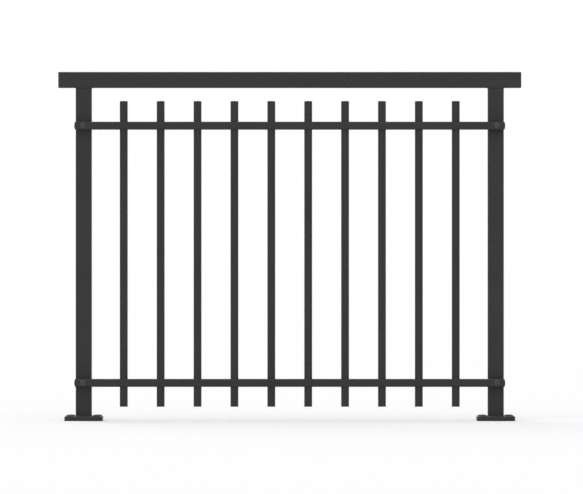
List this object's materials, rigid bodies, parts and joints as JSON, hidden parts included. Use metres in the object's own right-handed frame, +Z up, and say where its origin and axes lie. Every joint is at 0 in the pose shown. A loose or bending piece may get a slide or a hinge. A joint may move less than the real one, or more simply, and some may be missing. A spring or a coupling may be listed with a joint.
{
  "type": "deck railing section",
  "caption": "Bolt-down black deck railing section: square posts on base plates, square handrail across them, and round balusters running through two rails fixed to the posts' front.",
  "frame": {"origin": "centre of the left base plate's underside, where it stands on the deck", "axes": "+X along the railing to the right post as seen from the front, +Y from the front to the back, +Z up"},
  "size_m": [1.46, 0.12, 1.1],
  "materials": {
    "black_powder_coat": "satin black powder coat on aluminium",
    "black_plastic": "satin black moulded plastic caps"
  },
  "bodies": {
    "root": {"handrail": "black_powder_coat", "post_left": "black_powder_coat", "post_right": "black_powder_coat", "base_plate_left": "black_powder_coat", "base_plate_right": "black_powder_coat", "upper_rail": "black_powder_coat", "lower_rail": "black_powder_coat", "baluster_01": "black_powder_coat", "baluster_02": "black_powder_coat", "baluster_03": "black_powder_coat", "baluster_04": "black_powder_coat", "baluster_05": "black_powder_coat", "baluster_06": "black_powder_coat", "baluster_07": "black_powder_coat", "baluster_08": "black_powder_coat", "baluster_09": "black_powder_coat", "baluster_10": "black_powder_coat", "handrail_cap_left": "black_plastic", "handrail_cap_right": "black_plastic", "upper_rail_cap_left": "black_plastic", "upper_rail_cap_right": "black_plastic", "lower_rail_cap_left": "black_plastic", "lower_rail_cap_right": "black_plastic", "baluster_cap_01": "black_plastic", "baluster_cap_02": "black_plastic", "baluster_cap_03": "black_plastic", "baluster_cap_04": "black_plastic", "baluster_cap_05": "black_plastic", "baluster_cap_06": "black_plastic", "baluster_cap_07": "black_plastic", "baluster_cap_08": "black_plastic", "baluster_cap_09": "black_plastic", "baluster_cap_10": "black_plastic", "baluster_plug_01": "black_plastic", "baluster_plug_02": "black_plastic", "baluster_plug_03": "black_plastic", "baluster_plug_04": "black_plastic", "baluster_plug_05": "black_plastic", "baluster_plug_06": "black_plastic", "baluster_plug_07": "black_plastic", "baluster_plug_08": "black_plastic", "baluster_plug_09": "black_plastic", "baluster_plug_10": "black_plastic"}
  },
  "joints": []
}
